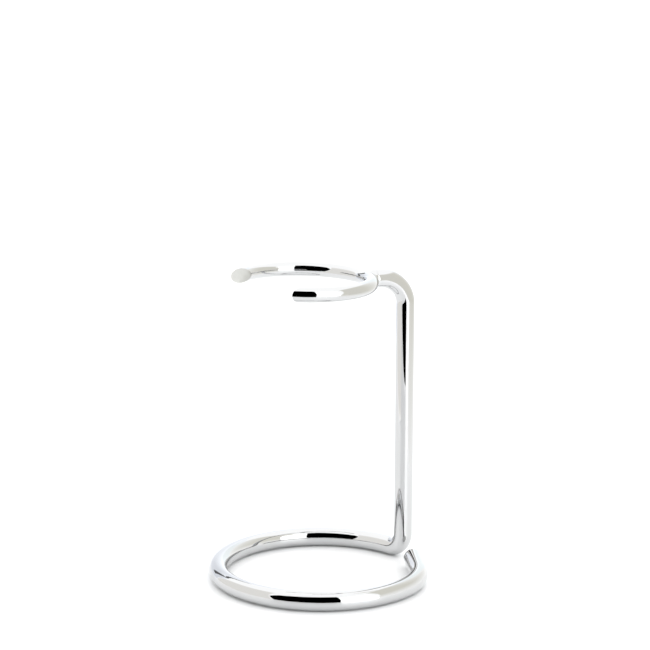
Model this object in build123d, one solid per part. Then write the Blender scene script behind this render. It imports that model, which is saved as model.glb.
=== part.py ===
from build123d import *
import os
from math import cos, radians, sin

# Shaving brush stand: one bent chromed rod with a thinner split ring brazed to its arm.
# Frame: +Z up, origin on the floor under the centre of the base ring, the arm points along -X.
# Sizes are millimetres and angles are degrees.

# Rods, and how far their cut ends are rounded over
STAND_ROD_D = 5.0
RING_ROD_D = 4.0
CUT_EDGE_R = 0.3
MITRE_EDGE_R = 0.15

# Base ring: a long main arc, then a tighter arc and a straight tail up to its free end
BASE_R = 27.3
FOOT_AZIMUTH = 27.4
TAIL_AZIMUTH = 301.1
TAIL_R = 20.9
TAIL_SWEEP = 45.1
TAIL_RUN = 11.4

# Upright and arm
FOOT_BEND_R = 4.6
TOP_BEND_R = 7.2
ARM_HEIGHT = 78.2
ARM_REACH = 28.6

# Split ring: it opens away from the arm, and both ends are mitred across the rod.
# It was brazed on a little out of level, higher at its mouth and on its +Y side.
SPLIT_RING_R = 17.8
FAR_END_AZIMUTH = 142.4
NEAR_END_AZIMUTH = -110.0
MITRE_ANGLE = 42.0
CUTTING_SPARE = 20.0
MOUTH_RISE_ANGLE = 0.93
SIDE_RISE_ANGLE = 0.95

# Brazed joint, measured from the split ring's centre line along the arm
ARM_END_SETBACK = 2.2
BEAD_ROOT = 0.2
BEAD_ROOT_HALF_WIDTH = 3.3
BEAD_ROOT_HALF_HEIGHT = 1.9

STAND_ROD_R = STAND_ROD_D / 2
RING_ROD_R = RING_ROD_D / 2
UP = Vector(0, 0, 1)
ARM_WAY = Vector(-1, 0, 0)


def base_path():
    """Centre lines of the base ring, from the foot of the upright round to the free end."""
    ring = CenterArc((0, 0, STAND_ROD_R), BASE_R, FOOT_AZIMUTH, TAIL_AZIMUTH - FOOT_AZIMUTH)
    bend = JernArc(ring @ 1, ring % 1, TAIL_R, TAIL_SWEEP)
    tail = Line(bend @ 1, (bend @ 1) + (bend % 1) * TAIL_RUN)
    return [ring, bend, tail]


def quarter_bend(start, way_in, way_out, radius):
    """Arc that turns a right angle from way_in to way_out."""
    return TangentArc(start, start + (way_in + way_out) * radius, tangent=way_in)


def upright_foot():
    """Start of the base ring, and the way the rod leaves it there."""
    ring = base_path()[0]
    return ring @ 0, (ring % 0) * -1


def upright_axis():
    """Point where the upright's axis meets the floor."""
    foot, way = upright_foot()
    axis = foot + way * FOOT_BEND_R
    return Vector(axis.X, axis.Y, 0)


def joint():
    """Point where the arm's axis meets the split ring's centre line."""
    return upright_axis() + ARM_WAY * (ARM_REACH - SPLIT_RING_R) + UP * ARM_HEIGHT


def split_ring_place():
    """Location of the split ring's centre, with its slight tilt about the joint."""
    here = joint()
    tilt = Rot(SIDE_RISE_ANGLE, MOUTH_RISE_ANGLE, 0)
    return Pos(here.X, here.Y, here.Z) * tilt * Pos(-SPLIT_RING_R, 0, 0)


def upright_path():
    """Centre lines of the foot bend, the upright, the top bend and the arm."""
    foot, way = upright_foot()
    foot_bend = quarter_bend(foot, way, UP, FOOT_BEND_R)
    top_start = upright_axis() + UP * (ARM_HEIGHT - TOP_BEND_R)
    upright = Line(foot_bend @ 1, top_start)
    top_bend = quarter_bend(top_start, UP, ARM_WAY, TOP_BEND_R)
    arm = Line(top_bend @ 1, joint() - ARM_WAY * ARM_END_SETBACK)
    return [foot_bend, upright, top_bend, arm]


def tube(path, radius):
    """Round rod swept along a path of tangent edges."""
    section = Plane(origin=path @ 0, z_dir=path % 0) * Circle(radius)
    return sweep(section, path=path)


def stand_rod():
    """The stand's one bent rod, cut square at both ends."""
    base = [line.edge() for line in base_path()]
    rise = [line.edge() for line in upright_path()]
    rod = tube(Wire(base + rise), STAND_ROD_R)
    free_end = rod.faces().filter_by(GeomType.PLANE).sort_by(Axis.Z)[0]
    return fillet(free_end.edges(), CUT_EDGE_R)


def mitre_tool(azimuth, turn):
    """Block that removes the split ring beyond one mitred end, in the ring's own frame.

    turn is +1 where the rod's free end points anticlockwise, -1 where it points clockwise.
    """
    end = Vector(cos(radians(azimuth)), sin(radians(azimuth)), 0) * SPLIT_RING_R
    cut_way = azimuth + turn * (90 - MITRE_ANGLE)
    side = 3 * RING_ROD_D
    block = Pos(0, turn * side / 2, 0) * Box(2 * side, side, side)
    return Pos(end.X, end.Y, 0) * Rot(0, 0, cut_way) * block


def brush_ring():
    """Split ring that carries the brush."""
    start = NEAR_END_AZIMUTH - CUTTING_SPARE
    path = CenterArc((0, 0, 0), SPLIT_RING_R, start, FAR_END_AZIMUTH + CUTTING_SPARE - start)
    ring = tube(path.edge(), RING_ROD_R)
    ring = ring - mitre_tool(FAR_END_AZIMUTH, 1) - mitre_tool(NEAR_END_AZIMUTH, -1)
    cut_faces = ring.faces().filter_by(GeomType.PLANE)
    ring = fillet(cut_faces.edges(), MITRE_EDGE_R)
    return split_ring_place() * ring


def braze_bead():
    """Filler metal that flares from the arm's square end onto the split ring."""
    root = Plane(origin=joint() - ARM_WAY * BEAD_ROOT, x_dir=(0, 1, 0), z_dir=ARM_WAY * -1)
    arm_end = Plane(origin=joint() - ARM_WAY * ARM_END_SETBACK, x_dir=(0, 1, 0), z_dir=ARM_WAY * -1)
    flare = loft([
        root * Ellipse(BEAD_ROOT_HALF_WIDTH, BEAD_ROOT_HALF_HEIGHT),
        arm_end * Circle(STAND_ROD_R),
    ])
    return flare - split_ring_place() * Torus(SPLIT_RING_R, RING_ROD_R)


def write(name, shape):
    """Write one node's STEP file and report its volume."""
    export_step(shape, os.path.join("parts", name + ".step"))
    print(name, "volume", round(shape.volume, 2), "box", shape.bounding_box())


os.makedirs("parts", exist_ok=True)
write("stand_rod", stand_rod())
write("brush_ring", brush_ring())
write("braze_bead", braze_bead())
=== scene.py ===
from math import acos, ceil, cos, degrees, pi, radians, sin

import bmesh
import bpy
from mathutils import Matrix, Vector


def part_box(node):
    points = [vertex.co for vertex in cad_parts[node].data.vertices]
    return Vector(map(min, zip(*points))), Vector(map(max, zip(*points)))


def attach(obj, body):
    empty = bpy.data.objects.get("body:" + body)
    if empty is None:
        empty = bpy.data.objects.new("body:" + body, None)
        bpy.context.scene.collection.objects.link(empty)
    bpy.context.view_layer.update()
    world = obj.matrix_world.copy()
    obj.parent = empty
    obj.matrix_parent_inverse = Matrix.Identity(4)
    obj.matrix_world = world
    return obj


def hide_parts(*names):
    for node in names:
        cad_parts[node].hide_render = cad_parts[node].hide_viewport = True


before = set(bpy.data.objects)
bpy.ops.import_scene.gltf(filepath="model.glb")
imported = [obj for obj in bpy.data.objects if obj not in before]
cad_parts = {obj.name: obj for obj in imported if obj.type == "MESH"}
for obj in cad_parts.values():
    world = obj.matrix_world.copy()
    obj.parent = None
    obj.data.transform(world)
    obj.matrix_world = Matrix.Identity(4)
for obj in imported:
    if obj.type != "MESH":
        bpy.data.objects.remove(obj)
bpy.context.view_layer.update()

# Chromed shaving brush stand, standing empty on a white studio table. It is three pieces: a bent
# rod, a thinner split ring and the brazed joint between them. Lengths are written in millimetres
# and turned into metres by MM. Angles are in degrees, azimuths anticlockwise from +X.
MM = 0.001
UP = Vector((0, 0, 1))
ARM_WAY = Vector((-1, 0, 0))

# Rods, and how far their cut ends are rounded over
STAND_ROD_R = 2.5 * MM
RING_ROD_R = 2.0 * MM
CUT_EDGE_R = 0.3 * MM
MITRE_EDGE_R = 0.16 * MM
SEAM_ROUND = 0.07 * MM

# Bent rod: the base ring's radius and the arm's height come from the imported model's box
STAND_LOW, STAND_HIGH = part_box("stand_rod")
BASE_R = -STAND_LOW.y - STAND_ROD_R
FOOT_AZIMUTH = 27.4
TAIL_AZIMUTH = 301.1
TAIL_R = 20.9 * MM
TAIL_SWEEP = 45.1
TAIL_RUN = 11.4 * MM
FOOT_BEND_R = 4.6 * MM
TOP_BEND_R = 7.2 * MM
ARM_HEIGHT = STAND_HIGH.z - STAND_ROD_R
ARM_REACH = 28.6 * MM

# Split ring
SPLIT_RING_R = 17.8 * MM
FAR_END_AZIMUTH = 142.4
NEAR_END_AZIMUTH = -110.0
MITRE_ANGLE = 42.0
MOUTH_RISE_ANGLE = 0.93
SIDE_RISE_ANGLE = 0.95

# Brazed joint: a fillet from the arm's end that laps round the split ring
ARM_END_SETBACK = 2.2 * MM
BEAD_HALF_WIDTH = 2.7 * MM
BEAD_OVERLAP_ANGLE = 100.0

# Handles of the fillet's curve at the arm and at the ring, as shares of its span
BEAD_ARM_PULL = 0.6
BEAD_RING_PULL = 0.25

# How far in towards the arm's axis the curve aims where it lands, how deep in the rods its hidden
# ends lie, as shares of their radii, and the length that its UVs cover
BEAD_AIM_SHARE = 0.9
BEAD_INNER_SHARE = 0.6
BEAD_UV_LENGTH = 1.0 * MM

# Mesh fineness
ROUND_SEGMENTS = 72
ARC_STEP = 1.2
LINE_STEP = 1.2 * MM
EDGE_STEPS = 5
BEAD_STEPS = 20
SHARP_ANGLE = 50

# Chrome: its reflectance, and its roughness and the strength of its waves on rods and joint
CHROME = (0.578, 0.582, 0.588)
ROD_ROUGHNESS = 0.02
ROD_WAVE = 0.04
JOINT_ROUGHNESS = 0.03
JOINT_WAVE = 0.08

# Chrome's haze, waves and hairline scratches. The hairlines' stretch is per metre along the rod
# and per turn round it, and the other noise scales are per metre.
HAZE_SCALE = 160
HAZE_DETAIL = 4
HAZE_RANGE = (0.35, 0.75)
HAZE_SPREAD = 2.2
WAVE_SCALE = 130
WAVE_DETAIL = 1
WAVE_DEPTH = 0.4 * MM
HAIRLINE_STRETCH = (90, 34, 1)
HAIRLINE_SCALE = 9
HAIRLINE_DETAIL = 5
HAIRLINE_STRENGTH = 0.04
HAIRLINE_DEPTH = 0.02 * MM

# Sawn end faces: the material slot they use, and their satin plate with the blade's lines
SAWN = 1
SAWN_CHROME = (0.50, 0.503, 0.49)
SAWN_ROUGHNESS = 0.38
SAW_LINE_TURN = 25
SAW_LINE_STRETCH = (0.15, 0.15, 1)
SAW_LINE_SCALE = 4200
SAW_LINE_DETAIL = 3
SAW_LINE_STRENGTH = 0.35
SAW_LINE_DEPTH = 0.03 * MM

# Camera: it looks along +Y, turned by VIEW_AZIMUTH about the base ring's centre
VIEW_AZIMUTH = -18.3
VIEW_ELEVATION = 11.65
VIEW_DISTANCE = 542.4 * MM
VIEW_TARGET_RIGHT = 0.87 * MM
VIEW_TARGET_UP = 68.35 * MM
VIEW_ROLL = 0.19
VIEW_LENS = 115.64
SENSOR = 36.0
CLIP_NEAR = 10 * MM
CLIP_FAR = 20000 * MM

# Studio light and the table
WHITE = (1.0, 1.0, 0.995)
SURROUND_LIGHT = 1.65
SOFTBOX_LIGHT = 3.0
TABLE_TONE = (0.80, 0.805, 0.81)
TABLE_ROUGHNESS = 0.3
TABLE = [(-3000, -3000, 0), (3000, -3000, 0), (3000, 3000, 0), (-3000, 3000, 0)]

# Studio cards, seen only in the chrome. Each is four corners in millimetres, in the view's own
# axes, X right, Y away and Z up: the two at its foot, then the two at its top in reverse order.
DARK_ROOM = [(-420, -277, 1), (59, -183, 1), (180, -390, 840), (-560, -390, 840)]
SOFTBOX = [(144, -395, 1), (356, -223, 1), (356, -223, 520), (144, -395, 520)]
RIGHT_WALL = [(112, -84, 1), (112, 200, 1), (112, 200, 215), (112, -36, 215)]
RIGHT_CARD = [(35.5, -17.2, 67), (48, 2, 67), (48, 2, 116), (35.5, -17.2, 116)]
LEFT_WALL = [(-84, -96, 1), (-280, 180, 1), (-280, 180, 260), (-130, -31, 260)]
WALL_GAP = [(-186, 163, 45), (-158, 188, 45), (-158, 188, 150), (-186, 163, 150)]
WALL_LEDGE = [(-186, 163, 150), (-60, 238, 165), (-60, 238, 182), (-186, 163, 172)]
BACK_LEFT_WALL = [(-280, 180, 1), (40, 330, 1), (40, 330, 200), (-280, 180, 200)]
BACK_RIGHT_WALL = [(40, 330, 1), (150, 210, 1), (150, 210, 260), (40, 330, 260)]

# Card tones, and the tones that the walls fade to at their edges
BLACK = (0, 0, 0)
UNLIT_GREY = (0.1, 0.1, 0.1)
WARM_WALL = (0.645, 0.631, 0.570)
WARM_WALL_EDGE = (0.88, 0.88, 0.87)
WARM_CARD = (0.635, 0.622, 0.570)
PALE_WALL = (0.74, 0.725, 0.695)
PALE_WALL_EDGE = (0.9, 0.89, 0.87)
COOL_GREY_WALL = (0.66, 0.68, 0.72)
COOL_WALL = (0.83, 0.875, 0.88)
COOL_WALL_EDGE = (0.93, 0.96, 1.0)

# Shares of a wall's width and height over which it fades: first end, second end, bottom, top
RIGHT_WALL_FADES = (0.01, 0.6, 0.28, 0.1)
LEFT_WALL_FADES = (0.02, 0.1, 0.02, 0.3)
BACK_LEFT_WALL_FADES = (0.02, 0.5, 0.02, 0.3)
BACK_RIGHT_WALL_FADES = (0.2, 0.2, 0.02, 0.3)


# ---------------------------------------------------------------- routes

def horizontal(azimuth):
    """Level unit vector at an azimuth."""
    return Vector((cos(radians(azimuth)), sin(radians(azimuth)), 0))


def add_line(route, length):
    """Carries a route straight on."""
    start, way = route[-1]
    count = max(1, ceil(length / LINE_STEP))
    route.extend((start + way * length * i / count, way.copy()) for i in range(1, count + 1))


def add_arc(route, radius, axis, angle):
    """Turns a route about an axis, anticlockwise, by an angle."""
    start, way = route[-1]
    centre = start + axis.cross(way) * radius
    count = max(2, ceil(angle / ARC_STEP))
    for i in range(1, count + 1):
        turn = Matrix.Rotation(radians(angle) * i / count, 3, axis)
        route.append((centre + turn @ (start - centre), turn @ way))


def upright_axis():
    """Point where the upright's axis meets the floor."""
    foot = horizontal(FOOT_AZIMUTH)
    return foot * BASE_R + horizontal(FOOT_AZIMUTH - 90) * FOOT_BEND_R


def joint():
    """Point where the arm's axis meets the split ring's centre line."""
    return upright_axis() + ARM_WAY * (ARM_REACH - SPLIT_RING_R) + UP * ARM_HEIGHT


def stand_route():
    """Centre line of the bent rod, from the base ring's free end to the arm's end."""
    tail_centre = horizontal(TAIL_AZIMUTH) * (BASE_R - TAIL_R)
    out = horizontal(TAIL_AZIMUTH + TAIL_SWEEP)
    way = horizontal(TAIL_AZIMUTH + TAIL_SWEEP + 90)
    start = tail_centre + out * TAIL_R + way * TAIL_RUN + UP * STAND_ROD_R
    route = [(start, -way)]
    add_line(route, TAIL_RUN)
    add_arc(route, TAIL_R, -UP, TAIL_SWEEP)
    add_arc(route, BASE_R, -UP, TAIL_AZIMUTH - FOOT_AZIMUTH)
    add_arc(route, FOOT_BEND_R, route[-1][1].cross(UP), 90)
    add_line(route, ARM_HEIGHT - TOP_BEND_R - route[-1][0].z)
    add_arc(route, TOP_BEND_R, UP.cross(ARM_WAY), 90)
    add_line(route, ARM_REACH - SPLIT_RING_R - TOP_BEND_R - ARM_END_SETBACK)
    return route


def section_rings(route, radius, start_round, end_round):
    """Circles along a route, with both ends rounded over: (centre, way, radius) each."""
    quarter = [pi / 2 * i / EDGE_STEPS for i in range(EDGE_STEPS + 1)]
    first, first_way = route[0]
    last, last_way = route[-1]
    rings = [(first + first_way * start_round * (1 - cos(a)), first_way,
              radius - start_round * (1 - sin(a))) for a in quarter]
    rings += [(point, way, radius) for point, way in route[1:-1]]
    rings += [(last - last_way * end_round * (1 - sin(a)), last_way,
               radius - end_round * (1 - cos(a))) for a in quarter]
    return rings


def sides_along(rings):
    """Side vectors that follow a route without twisting."""
    side = rings[0][1].orthogonal().normalized()
    sides = []
    for _, way, _ in rings:
        side = (side - way * side.dot(way)).normalized()
        sides.append(side)
    return sides


# ---------------------------------------------------------------- meshes

def round_angles():
    """Angles of the points round a rod, in radians."""
    return [2 * pi * j / ROUND_SEGMENTS for j in range(ROUND_SEGMENTS)]


def add_grid(bm, rows, lengths):
    """Joins rows of points, closed round each row. UVs hold the length along and the turn round."""
    uv_layer = bm.loops.layers.uv.new("along_and_round")
    loops = [[bm.verts.new(p) for p in row] for row in rows]
    count = len(rows[0])
    for i in range(len(rows) - 1):
        for j in range(count):
            k = (j + 1) % count
            face = bm.faces.new((loops[i][j], loops[i][k], loops[i + 1][k], loops[i + 1][j]))
            corners = ((i, j), (i, j + 1), (i + 1, j + 1), (i + 1, j))
            for loop, (row, column) in zip(face.loops, corners):
                loop[uv_layer].uv = (lengths[row], column / count)
    return loops


def close_end(bm, loop, centre, flip, material_index=0):
    """Closes an open row with a fan about a centre point."""
    middle = bm.verts.new(centre)
    for j, vert in enumerate(loop):
        pair = (vert, loop[(j + 1) % len(loop)])
        face = bm.faces.new((*(pair if flip else reversed(pair)), middle))
        face.material_index = material_index


def as_piece(bm, name):
    """Turns a bmesh into a smooth-shaded object, sharp only where its faces turn steeply."""
    bmesh.ops.recalc_face_normals(bm, faces=bm.faces)
    mesh = bpy.data.meshes.new(name)
    bm.to_mesh(mesh)
    bm.free()
    mesh.shade_smooth()
    mesh.set_sharp_from_angle(angle=radians(SHARP_ANGLE))
    piece = bpy.data.objects.new(name, mesh)
    bpy.context.scene.collection.objects.link(piece)
    return piece


def make_stand_rod():
    """The bent rod: base ring, upright and arm in one."""
    rings = section_rings(stand_route(), STAND_ROD_R, CUT_EDGE_R, SEAM_ROUND)
    rows, lengths, run = [], [], 0.0
    for index, ((centre, way, radius), side) in enumerate(zip(rings, sides_along(rings))):
        over = way.cross(side)
        rows.append([centre + (side * cos(a) + over * sin(a)) * radius for a in round_angles()])
        if index:
            run += (centre - rings[index - 1][0]).length
        lengths.append(run)
    bm = bmesh.new()
    loops = add_grid(bm, rows, lengths)
    close_end(bm, loops[0], rings[0][0], False, SAWN)
    close_end(bm, loops[-1], rings[-1][0], True)
    return as_piece(bm, "bent_rod")


def ring_place():
    """Matrix from the split ring's own frame, about its centre, to the stand's frame."""
    tilt = Matrix.Rotation(radians(SIDE_RISE_ANGLE), 4, "X")
    tilt = tilt @ Matrix.Rotation(radians(MOUTH_RISE_ANGLE), 4, "Y")
    return Matrix.Translation(joint()) @ tilt @ Matrix.Translation((-SPLIT_RING_R, 0, 0))


def mitre_azimuth(end_azimuth, turn, string_radius):
    """Azimuth at which a string of the rod, on its own radius, meets the mitred end.

    turn is +1 where the rod's free end points anticlockwise, -1 where it points clockwise.
    """
    normal_azimuth = end_azimuth + turn * (180 - MITRE_ANGLE)
    distance = (horizontal(end_azimuth) * SPLIT_RING_R).dot(horizontal(normal_azimuth))
    return normal_azimuth - turn * degrees(acos(distance / string_radius))


def torus_point(azimuth, round_angle, rod_r=RING_ROD_R):
    """Point on the split ring's surface, in its own frame. Both angles are in radians."""
    reach = SPLIT_RING_R + rod_r * cos(round_angle)
    return Vector((reach * cos(azimuth), reach * sin(azimuth), rod_r * sin(round_angle)))


def split_ring_rows(steps):
    """Rows of points along the split ring: every string runs exactly from mitre to mitre."""
    strings = []
    for angle in round_angles():
        reach = SPLIT_RING_R + RING_ROD_R * cos(angle)
        low = mitre_azimuth(NEAR_END_AZIMUTH, -1, reach)
        high = mitre_azimuth(FAR_END_AZIMUTH, 1, reach)
        strings.append((angle, low, high))
    return [[torus_point(radians(low + (high - low) * i / steps), angle)
             for angle, low, high in strings] for i in range(steps + 1)]


def make_brush_ring():
    """The split ring, mitred at both ends."""
    sweep = FAR_END_AZIMUTH - NEAR_END_AZIMUTH
    steps = ceil(sweep / ARC_STEP)
    bm = bmesh.new()
    length = radians(sweep) * SPLIT_RING_R
    loops = add_grid(bm, split_ring_rows(steps), [length * i / steps for i in range(steps + 1)])
    rims = []
    for loop in (loops[0], loops[-1]):
        bm.faces.new(loop)
        rims += [bm.edges.get((a, loop[(j + 1) % len(loop)])) for j, a in enumerate(loop)]
    bmesh.ops.bevel(bm, geom=rims, offset=MITRE_EDGE_R, segments=EDGE_STEPS, profile=0.5,
                    affect="EDGES", clamp_overlap=True)
    for face in bm.faces:
        if len(face.verts) == ROUND_SEGMENTS:
            face.material_index = SAWN
    bm.transform(ring_place())
    return as_piece(bm, "split_ring")


def bezier(points, t):
    """Point on a cubic Bezier curve."""
    a, b, c, d = points
    s = 1 - t
    return a * s ** 3 + b * 3 * s * s * t + c * 3 * s * t * t + d * t ** 3


def bead_string(angle):
    """Points along the fillet at one angle, from inside the arm's end to inside the ring."""
    place = ring_place()
    arm_end = joint() - ARM_WAY * ARM_END_SETBACK
    radial = Vector((0, cos(angle), sin(angle)))
    start = arm_end + radial * STAND_ROD_R
    azimuth = BEAD_HALF_WIDTH / (SPLIT_RING_R + RING_ROD_R) * cos(angle)
    round_angle = radians(BEAD_OVERLAP_ANGLE) * sin(angle)
    landing = place @ torus_point(azimuth, round_angle)
    further_in = torus_point(azimuth * BEAD_AIM_SHARE, round_angle * BEAD_AIM_SHARE)
    inward = (place @ further_in - landing).normalized()
    reach = (landing - start).length
    curve = (start, start + ARM_WAY * reach * BEAD_ARM_PULL,
             landing + inward * reach * BEAD_RING_PULL, landing)
    in_arm = arm_end + radial * STAND_ROD_R * BEAD_INNER_SHARE
    in_ring = place @ torus_point(azimuth, round_angle, RING_ROD_R * BEAD_INNER_SHARE)
    return [in_arm, *(bezier(curve, i / BEAD_STEPS) for i in range(BEAD_STEPS + 1)), in_ring]


def make_braze_bead():
    """Filler metal: a smooth fillet from the arm's end onto the split ring."""
    rows = list(zip(*(bead_string(angle) for angle in round_angles())))
    bm = bmesh.new()
    loops = add_grid(bm, rows, [BEAD_UV_LENGTH * i / len(rows) for i in range(len(rows))])
    close_end(bm, loops[0], joint() - ARM_WAY * ARM_END_SETBACK, False)
    close_end(bm, loops[-1], joint(), True)
    return as_piece(bm, "joint_fillet")


# ---------------------------------------------------------------- materials

def new_material(name):
    """Material with an empty node tree."""
    material = bpy.data.materials.new(name)
    material.use_nodes = True
    material.node_tree.nodes.clear()
    return material, material.node_tree


def add_node(tree, kind, values=None, sources=None):
    """Adds a node with values on some of its inputs and sockets linked to others."""
    node = tree.nodes.new("ShaderNode" + kind)
    for name, value in (values or {}).items():
        node.inputs[name].default_value = value
    for name, socket in (sources or {}).items():
        tree.links.new(socket, node.inputs[name])
    return node


def add_shader(tree, colour, roughness, metallic):
    """Surface shader, linked to the material's output."""
    shader = add_node(tree, "BsdfPrincipled", {"Base Color": (*colour, 1), "Roughness": roughness,
                                               "Metallic": metallic})
    add_node(tree, "OutputMaterial", sources={"Surface": shader.outputs["BSDF"]})
    return shader


def noise(tree, place, scale, detail):
    """Noise over a place."""
    node = add_node(tree, "TexNoise", {"Scale": scale, "Detail": detail}, {"Vector": place})
    return node.outputs["Fac"]


def stretched(tree, place, scale, turn=0):
    """A place scaled along its axes and turned about Z."""
    node = add_node(tree, "Mapping", {"Scale": scale, "Rotation": (0, 0, radians(turn))},
                    {"Vector": place})
    return node.outputs["Vector"]


def bump(tree, height, strength, depth):
    """Bump from a height."""
    return add_node(tree, "Bump", {"Strength": strength, "Distance": depth}, {"Height": height})


def chrome(name, roughness, wave):
    """Mirror chrome: faint waves in the plate, hairline scratches and slight haze."""
    material, tree = new_material(name)
    shader = add_shader(tree, CHROME, roughness, 1.0)
    place = add_node(tree, "TexCoord")

    haze = noise(tree, place.outputs["Object"], HAZE_SCALE, HAZE_DETAIL)
    low, high = HAZE_RANGE
    spread = add_node(tree, "MapRange", {"From Min": low, "From Max": high, "To Min": roughness,
                                         "To Max": roughness * HAZE_SPREAD}, {"Value": haze})
    tree.links.new(spread.outputs["Result"], shader.inputs["Roughness"])

    waves = noise(tree, place.outputs["Object"], WAVE_SCALE, WAVE_DETAIL)
    wave_bump = bump(tree, waves, wave, WAVE_DEPTH)
    lines = stretched(tree, place.outputs["UV"], HAIRLINE_STRETCH)
    hairlines = noise(tree, lines, HAIRLINE_SCALE, HAIRLINE_DETAIL)
    hair_bump = bump(tree, hairlines, HAIRLINE_STRENGTH, HAIRLINE_DEPTH)
    tree.links.new(wave_bump.outputs["Normal"], hair_bump.inputs["Normal"])
    tree.links.new(hair_bump.outputs["Normal"], shader.inputs["Normal"])
    return material


def sawn_chrome(name):
    """Plate over a sawn end: the blade's fine lines still show and blur the reflection."""
    material, tree = new_material(name)
    shader = add_shader(tree, SAWN_CHROME, SAWN_ROUGHNESS, 1.0)
    place = add_node(tree, "TexCoord")
    lines = stretched(tree, place.outputs["Object"], SAW_LINE_STRETCH, SAW_LINE_TURN)
    height = noise(tree, lines, SAW_LINE_SCALE, SAW_LINE_DETAIL)
    saw_bump = bump(tree, height, SAW_LINE_STRENGTH, SAW_LINE_DEPTH)
    tree.links.new(saw_bump.outputs["Normal"], shader.inputs["Normal"])
    return material


def satin(name, colour, roughness):
    """Plain satin studio surface."""
    material, tree = new_material(name)
    add_shader(tree, colour, roughness, 0.0)
    return material


def product(tree, first, second):
    """Product of two sockets."""
    node = add_node(tree, "Math")
    node.operation = "MULTIPLY"
    tree.links.new(first, node.inputs[0])
    tree.links.new(second, node.inputs[1])
    return node.outputs[0]


def edge_fade(tree, place, low_fade, high_fade):
    """1 in the middle of a 0 to 1 range, falling to 0 at its ends over the two fades."""
    low = add_node(tree, "MapRange", {"From Min": 0.0, "From Max": low_fade}, {"Value": place})
    high = add_node(tree, "MapRange", {"From Min": 1.0, "From Max": 1.0 - high_fade},
                    {"Value": place})
    return product(tree, low.outputs["Result"], high.outputs["Result"])


def glow(name, colour, strength):
    """Self-lit card of one tone."""
    material, tree = new_material(name)
    light = add_node(tree, "Emission", {"Color": (*colour, 1), "Strength": strength})
    add_node(tree, "OutputMaterial", sources={"Surface": light.outputs["Emission"]})
    return material


def faded_glow(name, colour, edge_colour, fades):
    """Self-lit wall that fades to another tone at its edges."""
    material = glow(name, colour, SURROUND_LIGHT)
    tree = material.node_tree
    first_end, second_end, bottom, top = fades
    place = add_node(tree, "TexCoord")
    split = add_node(tree, "SeparateXYZ", sources={"Vector": place.outputs["UV"]})
    across = edge_fade(tree, split.outputs["X"], first_end, second_end)
    up = edge_fade(tree, split.outputs["Y"], bottom, top)
    blend = add_node(tree, "Mix")
    blend.data_type = "RGBA"
    blend.inputs["A"].default_value = (*edge_colour, 1)
    blend.inputs["B"].default_value = (*colour, 1)
    tree.links.new(product(tree, across, up), blend.inputs["Factor"])
    tree.links.new(blend.outputs["Result"], tree.nodes["Emission"].inputs["Color"])
    return material


# ---------------------------------------------------------------- studio

def view_turn():
    """Rotation from the view's own axes, X right and Y away, to the stand's frame."""
    return Matrix.Rotation(radians(VIEW_AZIMUTH), 4, "Z")


def add_surface(name, corners, material):
    """Flat studio surface from its four corners in the view's own axes, in millimetres."""
    mesh = bpy.data.meshes.new(name)
    points = [view_turn() @ (Vector(corner) * MM) for corner in corners]
    mesh.from_pydata(points, [], [tuple(range(len(points)))])
    mesh.materials.append(material)
    uv = mesh.uv_layers.new(name="across_and_up")
    for loop, place in zip(uv.data, ((0, 0), (1, 0), (1, 1), (0, 1))):
        loop.uv = place
    surface = bpy.data.objects.new(name, mesh)
    bpy.context.scene.collection.objects.link(surface)
    return surface


def add_card(name, corners, material):
    """Studio card that only shows as a reflection in the chrome."""
    card = add_surface(name, corners, material)
    card.visible_camera = False
    card.visible_diffuse = False
    card.visible_shadow = False
    return card


def add_camera():
    """Camera a little above the stand, with the split ring's mouth to the left."""
    away = Vector((0, cos(radians(VIEW_ELEVATION)), -sin(radians(VIEW_ELEVATION))))
    target = Vector((VIEW_TARGET_RIGHT, 0, VIEW_TARGET_UP))
    data = bpy.data.cameras.new("camera")
    data.lens = VIEW_LENS
    data.sensor_width = SENSOR
    data.clip_start = CLIP_NEAR
    data.clip_end = CLIP_FAR
    camera = bpy.data.objects.new("camera", data)
    bpy.context.scene.collection.objects.link(camera)
    turn = away.to_track_quat("-Z", "Y").to_matrix().to_4x4()
    turn = turn @ Matrix.Rotation(radians(VIEW_ROLL), 4, "Z")
    camera.matrix_world = view_turn() @ Matrix.Translation(target - away * VIEW_DISTANCE) @ turn
    bpy.context.scene.camera = camera


def add_surroundings():
    """Even white light from all sides."""
    scene = bpy.context.scene
    world = bpy.data.worlds.new("studio")
    world.use_nodes = True
    background = world.node_tree.nodes["Background"]
    background.inputs["Color"].default_value = (*WHITE, 1)
    background.inputs["Strength"].default_value = SURROUND_LIGHT
    scene.world = world
    scene.view_settings.view_transform = "Standard"
    scene.view_settings.look = "None"


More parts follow.
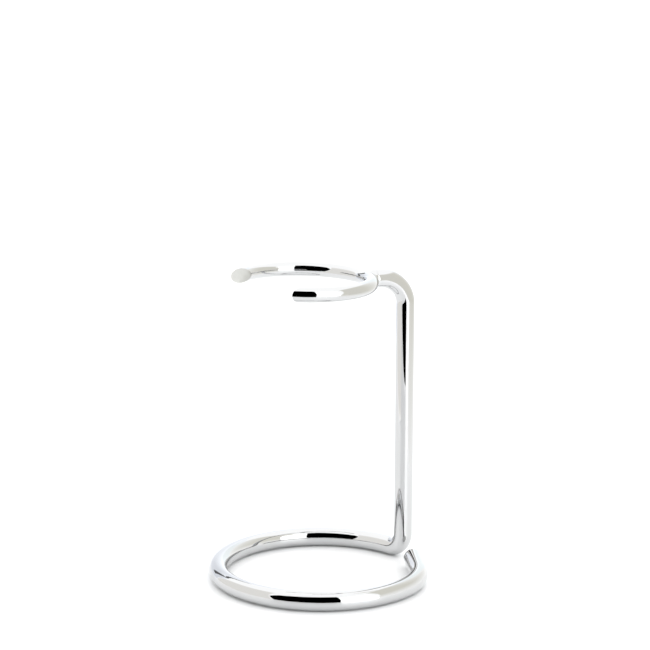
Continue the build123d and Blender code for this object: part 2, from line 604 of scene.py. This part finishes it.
def add_studio():
    """White table, the dark room past its front edge, one softbox and tinted walls."""
    add_surroundings()
    add_surface("floor", TABLE, satin("white_table", TABLE_TONE, TABLE_ROUGHNESS))
    add_card("dark_room", DARK_ROOM, glow("unlit", BLACK, 0.0))
    softbox = add_card("softbox", SOFTBOX, glow("softbox_light", WHITE, SOFTBOX_LIGHT))
    softbox.visible_diffuse = True
    add_card("right_wall", RIGHT_WALL,
             faded_glow("warm_grey_wall", WARM_WALL, WARM_WALL_EDGE, RIGHT_WALL_FADES))
    add_card("right_card", RIGHT_CARD, glow("warm_grey_card", WARM_CARD, SURROUND_LIGHT))
    add_card("left_wall", LEFT_WALL,
             faded_glow("pale_wall", PALE_WALL, PALE_WALL_EDGE, LEFT_WALL_FADES))
    unlit_gap = glow("unlit_gap", UNLIT_GREY, SURROUND_LIGHT)
    add_card("wall_gap", WALL_GAP, unlit_gap)
    add_card("wall_ledge", WALL_LEDGE, unlit_gap)
    add_card("back_left_wall", BACK_LEFT_WALL,
             faded_glow("cool_grey_wall", COOL_GREY_WALL, COOL_WALL_EDGE, BACK_LEFT_WALL_FADES))
    add_card("back_right_wall", BACK_RIGHT_WALL,
             faded_glow("cool_wall", COOL_WALL, COOL_WALL_EDGE, BACK_RIGHT_WALL_FADES))


# ---------------------------------------------------------------- build

def dress(piece, materials, node):
    """Gives a piece its materials and its body, and hides the CAD node it stands for."""
    for material in materials:
        piece.data.materials.append(material)
    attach(piece, "root")
    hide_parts(node)


add_camera()
add_studio()
rod_chrome = chrome("chrome_on_thick_rod", ROD_ROUGHNESS, ROD_WAVE)
ring_chrome = chrome("chrome_on_thin_rod", ROD_ROUGHNESS, ROD_WAVE)
joint_chrome = chrome("chrome_on_joint", JOINT_ROUGHNESS, JOINT_WAVE)
end_chrome = sawn_chrome("chrome_on_sawn_ends")
dress(make_stand_rod(), [rod_chrome, end_chrome], "stand_rod")
dress(make_brush_ring(), [ring_chrome, end_chrome], "brush_ring")
dress(make_braze_bead(), [joint_chrome], "braze_bead")
